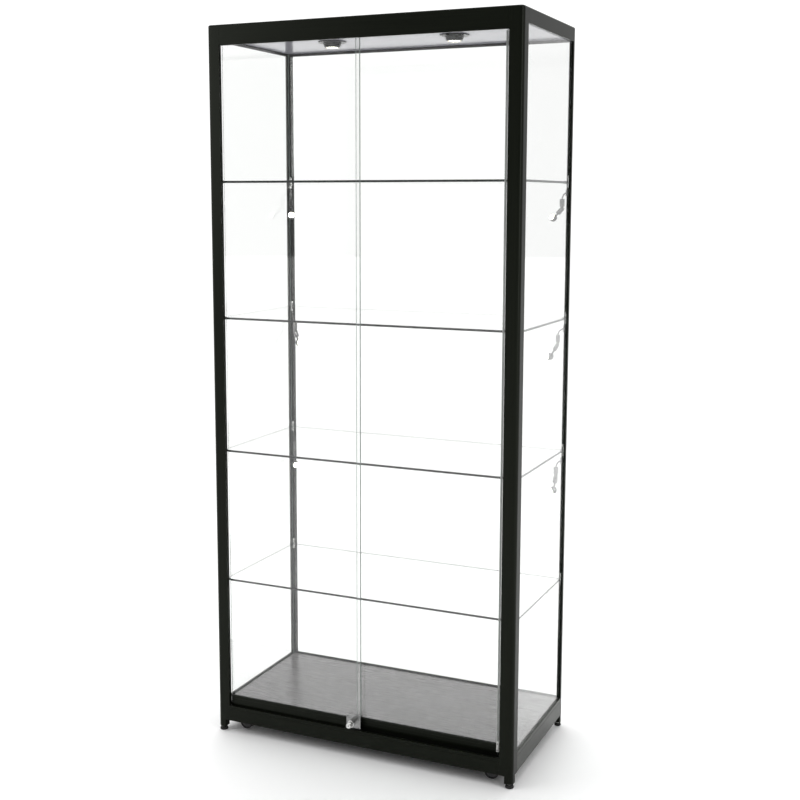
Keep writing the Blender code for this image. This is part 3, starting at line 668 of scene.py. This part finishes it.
spreading, spread_from, spread_to = node_tree("spread_pieces", ("Piece", "Object"),
                                              ("Finish", "Material"))
pattern = spreading.nodes.new("GeometryNodeObjectInfo")
heading = spreading.nodes.new("GeometryNodeInputNamedAttribute")
heading.data_type = "FLOAT_VECTOR"
heading.inputs["Name"].default_value = "turn"
facing = spreading.nodes.new("FunctionNodeEulerToRotation")
repeated = spreading.nodes.new("GeometryNodeInstanceOnPoints")
wire = spreading.links.new
wire(spread_from.outputs["Piece"], pattern.inputs["Object"])
wire(heading.outputs["Attribute"], facing.inputs["Euler"])
wire(spread_from.outputs["Geometry"], repeated.inputs["Points"])
wire(pattern.outputs["Geometry"], repeated.inputs["Instance"])
wire(facing.outputs["Rotation"], repeated.inputs["Rotation"])
close_tree(spreading, spread_from, spread_to, repeated.outputs["Instances"])


def spread(name, mesh, finish, spots):
    """Copies of a small piece at several (place, turn) spots, kept as one mesh."""
    points = bpy.data.meshes.new(name)
    points.from_pydata([place for place, _ in spots], [], [])
    turns = points.attributes.new("turn", "FLOAT_VECTOR", "POINT")
    for item, (_, turn) in zip(turns.data, spots):
        item.vector = turn
    original = show("original", mesh)
    made = settle(name, points, spreading, {"Piece": original, "Finish": finish})
    bpy.data.objects.remove(original)
    made.shade_smooth()
    made.set_sharp_from_angle(angle=crease)
    return made


facing_out = Matrix.Rotation(math.pi / 2, 4, "Y")
for end, tab, clamp in (("front", 0.024, 0.021), ("rear", 0.016, 0.012)):
    strap = [block("strap", (0, -0.0026, -0.0150), (0.0012, 0.0026, 0.0190), bright_chrome),
             block("tab", (0.0008, -0.0030, -0.0046), (tab, 0.0030, -0.0032), bright_chrome),
             block("clamp", (0.0008, -0.0030, 0.0034), (clamp, 0.0030, 0.0046), bright_chrome)]
    for height in (0.0150, -0.0100):
        spacer = [(0, 0), (0.0024, 0), (0.0024, 0.0008), (0, 0.0008)]
        strap.append(placed(turned("spacer", spacer, bright_chrome, 20), facing_out,
                            Matrix.Translation((0.0010, 0, height))))
        strap.append(placed(screw_head("screw", 0.0030, 0.0022, bright_chrome), facing_out,
                            Matrix.Translation((0.0017, 0, height))))
    pads = joined("pads", *(
        block("pad", (0.003, -0.0026, low), (end_x - 0.001, 0.0026, high), clear_pad, 0.0001)
        for end_x, low, high in ((tab, -0.0033, -0.0030), (clamp, 0.0030, 0.0035))))
    spots = []
    for i in range(1, 5):
        low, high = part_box(f"glass_shelf_{i}")
        height = (low.z + high.z) / 2
        for side, turn in ((-1, -45), (1, -135)):
            if end == "front":
                x, y, turn = right - 0.017, front + 0.0232, 90
            else:
                x, y = right - 0.0123, back - 0.0123
            spots.append(((side * x, y, height), (0, 0, math.radians(turn))))
    fit(f"{end}_shelf_clips", spread("clips", joined("clip", *strap), bright_chrome, spots),
        "cabinet", "chrome")
    fit(f"{end}_clip_pads", spread("pads", pads, clear_pad, spots), "cabinet", "plastic")

# ---------------- tracks and doors
# Two clear glass doors run one behind the other in black drawn tracks.  Each stands in a black shoe
# with fine grooves, and the rear door has a pale edge guard and a white stop at its outer end.
for node in ("door_head_track", "door_bottom_track"):
    give(node, surface("black_track", (0.0024, 0.0030, 0.0020), (0.0046, 0.0054, 0.0038),
                       (0.40, 0.52), (5, 900, 900), {"Specular IOR Level": 0.12}, relief=0.00001))
dark_edge = ground_edge("dark_edge", (0.10, 0.13, 0.12), (0.18, 0.22, 0.20))
shoe_finish = black_aluminium("black_shoe", (5, 900, 900))
white_nylon = surface("white_nylon", (0.62, 0.62, 0.60), (0.74, 0.74, 0.72), (0.32, 0.45),
                      [150] * 3, {"Specular IOR Level": 0.45}, relief=0.00002)
meeting_edges = {"left": ((1, 0, 0), dark_edge), "right": ((-1, 0, 0), pale_edge)}
outer_edges = {"left": ((-1, 0, 0), pale_edge), "right": ((1, 0, 0), pale_edge)}
for word, grooves in (("left", (0.0985,)), ("right", (0.0985, 0.0900))):
    body = f"{word}_door"
    low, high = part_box(f"{body}_glass")
    middle = (low.y + high.y) / 2
    leaf = plate("leaf", rectangle(low.x, low.z, high.x, high.z), "Y", low.y, high.y,
                 meeting_edges[word], outer_edges[word], ((0, 0, 1), dark_edge),
                 ((0, 0, -1), dark_edge), arris=0.0005)
    fit(f"{word}_door_pane", leaf, body, "glass", f"{word}_door_glass")
    bottom, crest = (corner.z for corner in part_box(f"{body}_shoe"))
    wall, half, sole, cap = 0.0022, 0.0050, low.z - 0.0003, 0.0012
    section = [(-half, bottom, 0.0004), (half, bottom, 0.0004), (half, crest, 0.0006),
               (half - wall, crest, 0.0003), (half - wall, sole, 0), (wall - half, sole, 0),
               (wall - half, crest, 0.0003), (-half, crest, 0.0006)]
    for groove in grooves:
        section += [(-half, groove + 0.0006, 0), (-half + 0.0005, groove, 0),
                    (-half, groove - 0.0006, 0)]
    across = [(middle + y, z) for y, z in softened(section)]
    runner = [smooth(draw_out("shoe", across, "X", low.x + cap, high.x - cap, shoe_finish))]
    for x in (low.x, high.x - cap):
        runner.append(block("end_cap", (x, middle - half + 0.0001, bottom + 0.0002),
                            (x + cap, middle + half - 0.0001, sole - 0.0001), black_rubber, 0.0002))
    fit(f"{word}_shoe", joined("shoe", *runner), body, "track", f"{word}_door_shoe")

near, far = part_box("right_door_glass")
thin, slack, wing = 0.0005, 0.0001, far.x - 0.0035
guard_low, guard_top = 0.1135, 1.9440
guard = softened([
    (wing, near.y - thin, 0.0001), (far.x + thin, near.y - thin, 0.0003),
    (far.x + thin, far.y + thin, 0.0003), (wing, far.y + thin, 0.0001), (wing, far.y + slack, 0),
    (far.x + slack, far.y + slack, 0), (far.x + slack, near.y - slack, 0),
    (wing, near.y - slack, 0)])
fit("edge_guard", smooth(draw_out("guard", guard, "Z", guard_low, guard_top, pale_vinyl)),
    "right_door", "plastic")
shoe_low, shoe_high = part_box("right_door_shoe")
stop_low, stop_high = 0.0850, 0.1130
sideways = Matrix.Rotation(math.pi / 2, 4, "X")
stop = [block("stop", (shoe_high.x - 0.0045, shoe_low.y - 0.0006, stop_low),
              (shoe_high.x + 0.0022, shoe_high.y + 0.0006, stop_high), white_nylon, 0.0012, 3)]
for height in (stop_low + 0.0055, stop_high - 0.0055):
    stop.append(placed(screw_head("screw", 0.0014, 0.0008, chrome), sideways,
                       Matrix.Translation((shoe_high.x - 0.0012, shoe_low.y - 0.0006, height))))
fit("door_stop", joined("door_stop", *stop), "right_door", "plastic")

# ---------------- lock
# A chromed plunger lock: a plate hooked round the near door's edge and held by four small screws,
# a collar, and a round barrel that is pushed in, with its keyway painted on the face as dark shade.
plate_low, plate_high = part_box("lock_body")
barrel_radius, barrel_corner = 0.0074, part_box("lock_barrel")[0]
collar_x, collar_z = barrel_corner.x + barrel_radius, barrel_corner.z + barrel_radius
plate_face, plate_back = front + front_lip, front + front_lip + 0.0027
forward = Matrix.Translation((collar_x, front, collar_z)) @ sideways
brushed_chrome = surface("brushed_chrome", [0.20] * 3, [0.38] * 3, (0.10, 0.24), (40, 900, 900),
                         {"Metallic": 1.0}, relief=0.000006, smudges=0.08)
# Painted shade: a near-black keyway finish standing in for the shade inside the slot.
painted_keyway_shade = surface("painted_keyway_shade", [0.004] * 3, [0.009] * 3, (0.5, 0.7), [300] * 3,
                      {"Specular IOR Level": 0.2}, relief=0.00002)
face_outline = [(plate_low.x, plate_low.z, 0.0022), (plate_high.x, plate_low.z, 0.0008),
                (plate_high.x, plate_high.z, 0.0008), (plate_low.x, plate_high.z, 0.0022)]
collar_line = [(0.0077, -0.0090), (0.0100, -0.0090), (0.0100, 0.0060), (0.0095, 0.0064),
               (0.0095, 0.0072), (0.0100, 0.0076), (0.0100, 0.0092), (0.0092, 0.0100),
               (0.0081, 0.0100), (0.0077, 0.0096)]
lock_pieces = [
    smooth(draw_out("plate", softened(face_outline), "Y", plate_face, plate_back, brushed_chrome)),
    block("hook", (plate_high.x - 0.0015, plate_face + 0.0004, plate_low.z), plate_high,
          brushed_chrome),
    placed(turned("collar", collar_line, bright_chrome, 48, ring=True), forward)]
screw_spots = [((x, plate_face, z), (math.pi / 2, 0, 0))
               for x in (plate_low.x + 0.0042, plate_high.x - 0.0058)
               for z in (plate_low.z + 0.0042, plate_high.z - 0.0042)]
lock_pieces.append(spread("screws", screw_head("screw", 0.0016, 0.0010, chrome), chrome,
                          screw_spots))
fit("lock_case", joined("lock_case", *lock_pieces), "left_door", "chrome", "lock_body")

push_line = [(0, 0.0035), (0.0070, 0.0035), (barrel_radius, 0.0039), (barrel_radius, 0.0150),
             (0.0071, 0.0153), (0.0071, 0.0159), (barrel_radius, 0.0162), (barrel_radius, 0.0211),
             (0.0066, 0.0220), (0.0058, 0.0220), (0.0054, 0.0214), (0, 0.0213)]
barrel = [placed(turned("barrel", push_line, bright_chrome, 48), forward)]
# Painted shade: the keyway is two thin near-black blocks just proud of the barrel's face.
for across, up in ((0.0005, 0.0028), (0.0011, 0.0006)):
    barrel.append(block("keyway", (collar_x - across, front - 0.0215, collar_z - up),
                        (collar_x + across, front - 0.0200, collar_z + up), painted_keyway_shade, 0.0001))
fit("lock_button", joined("lock_button", *barrel), "lock_plunger", "chrome", "lock_barrel")

# ---------------- downlights
# Two spun lamp bowls clipped up into the ceiling board, dark grey outside with a chrome mouth ring,
# and a frosted lens over each.  Their driver and its cable gland are hidden above the board.
lamp_grey = surface("lamp_enamel", (0.030, 0.031, 0.031), (0.050, 0.051, 0.051), (0.22, 0.34),
                    (60, 60, 500), {"Metallic": 0.3, "Specular IOR Level": 0.6}, relief=0.00001)


def glowing(name, tint, strength):
    """A lit lens, a little brighter over each of the chips behind it."""
    made = surface(name, tint, tint, (0.25, 0.35), [80] * 3, {"Emission Color": (*tint, 1)},
                   relief=0.00002)
    nodes, wire = made.node_tree.nodes, made.node_tree.links.new
    chips = nodes.new("ShaderNodeTexVoronoi")
    chips.inputs["Scale"].default_value = 160.0
    level = nodes.new("ShaderNodeMapRange")
    level.inputs["From Max"].default_value = 0.8
    level.inputs["To Min"].default_value = strength * 1.3
    level.inputs["To Max"].default_value = strength * 0.8
    wire(nodes["Texture Coordinate"].outputs["Object"], chips.inputs["Vector"])
    wire(chips.outputs["Distance"], level.inputs["Value"])
    wire(level.outputs["Result"], nodes["Principled BSDF"].inputs["Emission Strength"])
    return made


def hung(profile):
    """A profile whose second values are drops below the ceiling board, as radii and heights."""
    return [(radius, seat - fall) for radius, fall in profile]


def over(node):
    """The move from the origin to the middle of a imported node's footprint."""
    low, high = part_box(node)
    return Matrix.Translation(((low.x + high.x) / 2, (low.y + high.y) / 2, 0))


lens_tint, lens_glow = (1.0, 0.98, 0.80), 20.0
warm_lens = glowing("warm_lens", lens_tint, lens_glow)
seat, bowl_top = ceiling_low - 0.0003, 1.990
bowl = [(0, bowl_top), (0.028, bowl_top)] + hung([
    (0.028, 0), (0.0396, 0), (0.040, 0.0004), (0.040, 0.0018), (0.0396, 0.0022), (0.0280, 0.0022),
    (0.0266, 0.0026), (0.0250, 0.0062), (0.0245, 0.0064), (0.0244, 0.0070), (0.0247, 0.0073),
    (0.0233, 0.0105), (0.0228, 0.0107), (0.0227, 0.0113), (0.0230, 0.0116), (0.0214, 0.0148),
    (0.0184, 0.0148), (0.0182, 0.0070), (0, 0.0070)])
mouth = hung([(0.0181, 0.0128), (0.0216, 0.0142), (0.0216, 0.0150), (0.0205, 0.0163),
              (0.0200, 0.0165), (0.0186, 0.0165), (0.0181, 0.0160)])
dome = hung([(0, 0.0148), (0.0090, 0.0146), (0.0130, 0.0142), (0.0160, 0.0134), (0.0177, 0.0125),
             (0.0177, 0.0073), (0, 0.0073)])
for word in ("left", "right"):
    spot = over(f"{word}_downlight_housing")
    shade = joined("shade", placed(turned("bowl", bowl, lamp_grey, 64), spot),
                   placed(turned("mouth", mouth, chrome, 64, ring=True), spot))
    fit(f"{word}_lamp_bowl", shade, "cabinet", "lamp", f"{word}_downlight_housing")
    fit(f"{word}_lamp_lens", placed(turned("lens", dome, warm_lens, 48), spot), "cabinet", "lens",
        f"{word}_downlight_lens")
give("led_driver", surface("driver_case", (0.52, 0.52, 0.50), (0.64, 0.64, 0.62), (0.35, 0.5),
                           [220] * 3, {"Specular IOR Level": 0.4}, relief=0.00003))
black_plastic = surface("black_plastic", [0.009] * 3, [0.017] * 3, (0.34, 0.48), [350] * 3,
                        {"Specular IOR Level": 0.45}, relief=0.00003)
give("cable_gland", black_plastic)

# ---------------- side lights
# Six small chromed lamps on the rear posts, under the upper three shelves.  Each has a barrel
# in a bracket, a bent rod, a block with a forked joint and a ribbed drum with a bright lens.
joint_of = {joint["name"]: joint for joint in frame["joints"]}
cool_lens = glowing("bright_lens", lens_tint, lens_glow)
reach, drop = 0.018, 0.044
bend = [(reach * math.sin(k * math.pi / 24), 0, -0.020 * (1 - math.cos(k * math.pi / 24)))
        for k in range(13)]


def mirrored(half):
    """A profile made of one half and its mirror image in the plane Z = 0."""
    return half + [(radius, -height) for radius, height in reversed(half)]


barrel_line = mirrored([(0, -0.0070), (0.0036, -0.0070), (0.0040, -0.0066), (0.0040, -0.0050),
                        (0.0037, -0.0048), (0.0037, -0.0044), (0.0040, -0.0042)])
knuckle_line = mirrored([(0, -0.0030), (0.0033, -0.0030), (0.0035, -0.0028)])
stem_line = [(0, -0.0345), (0.0025, -0.0345), (0.0025, -0.0290), (0.0021, -0.0287),
             (0.0021, -0.0280), (0.0025, -0.0277), (0.0025, -0.0190), (0, -0.0190)]
drum_line = [(0, -0.0060), (0.0045, -0.0070), (0.0060, -0.0075), (0.0092, -0.0044),
             (0.0096, -0.0034)]
for k in range(4):
    rib = -0.0026 + k * 0.0020
    drum_line += [(0.0086, rib - 0.0002), (0.0086, rib + 0.0004), (0.0098, rib + 0.0006),
                  (0.0098, rib + 0.0014)]
drum_line += [(0.0100, 0.0066), (0.0100, 0.0078), (0.0098, 0.0080), (0.0088, 0.0080),
              (0.0088, 0.0050), (0, 0.0050)]
lens_line = [(0, 0.0051), (0.0086, 0.0051), (0.0086, 0.0062), (0.0060, 0.0070), (0, 0.0073)]
aim = Matrix.Translation((0.001, 0, -0.040)) @ Matrix.Rotation(math.radians(115), 4, "Y")
cheek_line = softened([(0.0035, 0.0035, 0.0030), (-0.0035, 0.0035, 0.0030),
                       (-0.0045, -0.0180, 0.0004), (0.0045, -0.0180, 0.0004)])
bracket_spots = []
for word, side, turn in (("left", -1, -45), ("right", 1, -135)):
    for i in range(1, 4):
        name = f"{word}_light_{i}"
        axis = Vector(joint_of[f"{name}_swivel"]["pos_m"])
        tilt = joint_of[f"{name}_tilt"]
        course = math.atan2(tilt["axis"][0], -tilt["axis"][1])
        swung = Matrix.Translation(axis) @ Matrix.Rotation(course, 4, "Z")
        bracket_spots.append(((side * (right - 0.0122), back - 0.0122, axis.z),
                              (0, 0, math.radians(turn))))
        arm = [turned("barrel", barrel_line, chrome, 28),
               bead("rod", 0.0020, chrome, bend),
               block("block", (reach - 0.0050, -0.0050, -0.0385), (reach + 0.0050, 0.0050, -0.0170),
                     chrome, 0.0009, 3),
               block("tongue", (reach - 0.0028, -0.0030, -drop), (reach + 0.0028, 0.0030, -0.0370),
                     chrome),
               placed(turned("knuckle", knuckle_line, chrome, 24), sideways,
                      Matrix.Translation((reach, 0, -drop)))]
        fit(f"{name}_bracket_arm", placed(joined("arm", *arm), swung), f"{name}_arm", "chrome",
            f"{name}_arm")
        head = [placed(turned("drum", drum_line, chrome, 40), aim),
                placed(turned("lens", lens_line, cool_lens, 32), aim),
                block("bridge", (-0.0045, -0.0055, -0.0200), (0.0045, 0.0055, -0.0165), chrome,
                      0.0007, 3),
                turned("stem", stem_line, chrome, 20)]
        for near_y, far_y in ((-0.0055, -0.0033), (0.0033, 0.0055)):
            head.append(smooth(draw_out("cheek", cheek_line, "Y", near_y, far_y, chrome)))
        nodding = (Matrix.Translation(tilt["pos_m"]) @ Matrix.Rotation(course, 4, "Z")
                   @ Matrix.Rotation(math.radians(tilt["range_deg"][0]), 4, "Y"))
        fit(f"{name}_lamp", placed(joined("lamp", *head), nodding), f"{name}_head", "chrome",
            f"{name}_head")
bracket = [block("base", (0, -0.0034, -0.0092), (0.0008, 0.0034, 0.0092), chrome)]
for ear in (-0.0088, 0.0073):
    bracket.append(block("ear", (0.0004, -0.0026, ear), (0.0088, 0.0026, ear + 0.0015), chrome,
                         0.0005, 3))
fit("light_brackets", spread("brackets", joined("bracket", *bracket), chrome, bracket_spots),
    "cabinet", "chrome")

# ---------------- feet and castors
# Each leg ends in a ribbed black levelling foot on a threaded stem with a hexagon collar.
# Beside each is a small black castor, a moulded wheel with a tread in a forked frame.
wheel_tread = surface("wheel_tread", [0.010] * 3, [0.020] * 3, (0.45, 0.62), [300] * 3,
                      {"Specular IOR Level": 0.35}, relief=0.00005)
hub_grey = surface("hub_plastic", [0.030] * 3, [0.050] * 3, (0.30, 0.42), [200] * 3,
                   {"Specular IOR Level": 0.45}, relief=0.00002)
zinc = surface("zinc", (0.34, 0.34, 0.33), (0.50, 0.50, 0.48), (0.25, 0.40), [120] * 3,
               {"Metallic": 1.0}, relief=0.00001)
hexagon = [Vector((0.0064 * math.cos(k * math.pi / 3), 0.0064 * math.sin(k * math.pi / 3)))
           for k in range(6)]
thread_line = [(0, 0.0086), (0.0036, 0.0086)]
for k in range(12):
    thread_line += [(0.0038, 0.0092 + k * 0.0016), (0.0033, 0.0100 + k * 0.0016)]
thread_line += [(0.0033, 0.0294), (0.0028, 0.0300), (0, 0.0300)]
for end, radius in (("front", 0.0115), ("rear", 0.0095)):
    pad_line = [(0, 0), (radius - 0.0012, 0), (radius - 0.0004, 0.0008), (radius - 0.0004, 0.0054),
                (radius - 0.0018, 0.0076), (0.0064, 0.0085), (0, 0.0085)]
    ribs = [((math.cos(a) * (radius - 0.0006), math.sin(a) * (radius - 0.0006), 0), (0, 0, a))
            for a in (k * math.pi / 14 for k in range(28))]
    for word in ("left", "right"):
        rib = block("rib", (-0.0006, -0.0005, 0.0009), (0.00055, 0.0005, 0.0052), black_rubber,
                    0.0002)
        foot = [turned("pad", pad_line, black_rubber, 48), spread("ribs", rib, black_rubber, ribs),
                smooth(draw_out("collar", hexagon, "Z", 0.0084, 0.0121, zinc)),
                turned("stem", thread_line, zinc, 20)]
        node = f"{end}_{word}_foot"
        fit(f"{end}_{word}_levelling_foot", placed(joined("foot", *foot), over(node)), node,
            "rubber", node)

tyre_line = mirrored([
    (0.0155, -0.0060), (0.0165, -0.0080), (0.0182, -0.0080), (0.0196, -0.0070), (0.0200, -0.0058),
    (0.0200, -0.0037), (0.0194, -0.0035), (0.0194, -0.0029), (0.0200, -0.0027), (0.0200, -0.0005),
    (0.0194, -0.0003)])
hub_line = mirrored([(0.0028, -0.0080), (0.0058, -0.0080), (0.0062, -0.0076), (0.0066, -0.0058),
                     (0.0090, -0.0052), (0.0130, -0.0052), (0.0150, -0.0060), (0.0156, -0.0060)])
pin_line = mirrored([(0, -0.0120), (0.0022, -0.0120), (0.0025, -0.0117)])
cheek = [(0.0095, 0.0565, 0.0005), (-0.0055, 0.0565, 0.0005), (0.0085, 0.0170, 0.0045),
         (0.0190, 0.0160, 0.0050)]
undersides = {"front": ledge_low, "rear": 0.0738}
for end in ("front", "rear"):
    for word in ("left", "right"):
        name = f"{end}_{word}_castor"
        axle = Matrix.Translation(joint_of[f"{name}_roll"]["pos_m"]) @ sideways
        wheel = joined("wheel", placed(turned("tyre", tyre_line, wheel_tread, 56, ring=True), axle),
                       placed(turned("hub", hub_line, hub_grey, 48, ring=True), axle))
        fit(f"{name}_roller", wheel, f"{name}_wheel", "wheel", f"{name}_wheel")

        pivot = Vector(joint_of[f"{name}_swivel"]["pos_m"])
        sense = 1 if word == "right" else -1
        stem_top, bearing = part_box(f"{name}_fork")[1].z, undersides[end] - 0.0003
        crown = [(0, 0.0540), (0.0116, 0.0540), (0.0130, 0.0556), (0.0130, 0.0584),
                 (0.0125, 0.0590), (0.0070, 0.0590), (0.0070, bearing), (0.0040, bearing),
                 (0.0040, stem_top - 0.0004), (0.0036, stem_top), (0, stem_top)]
        fork = [placed(turned("crown", crown, black_plastic, 40),
                       Matrix.Translation((pivot.x, pivot.y, 0)))]
        fork_line = softened([(pivot.x + sense * x, z, radius) for x, z, radius in cheek])
        for near_y, far_y in ((-0.0112, -0.0092), (0.0092, 0.0112)):
            fork.append(smooth(draw_out("cheek", fork_line, "Y", pivot.y + near_y, pivot.y + far_y,
                                        black_plastic)))
        fork.append(block("bridge", (pivot.x - 0.0075, pivot.y - 0.0112, 0.0535),
                          (pivot.x + 0.0075, pivot.y + 0.0112, 0.0568), black_plastic, 0.0006))
        fork.append(placed(turned("pin", pin_line, zinc, 20), axle))
        fit(f"{name}_frame", joined("fork", *fork), f"{name}_fork", "plastic", f"{name}_fork")
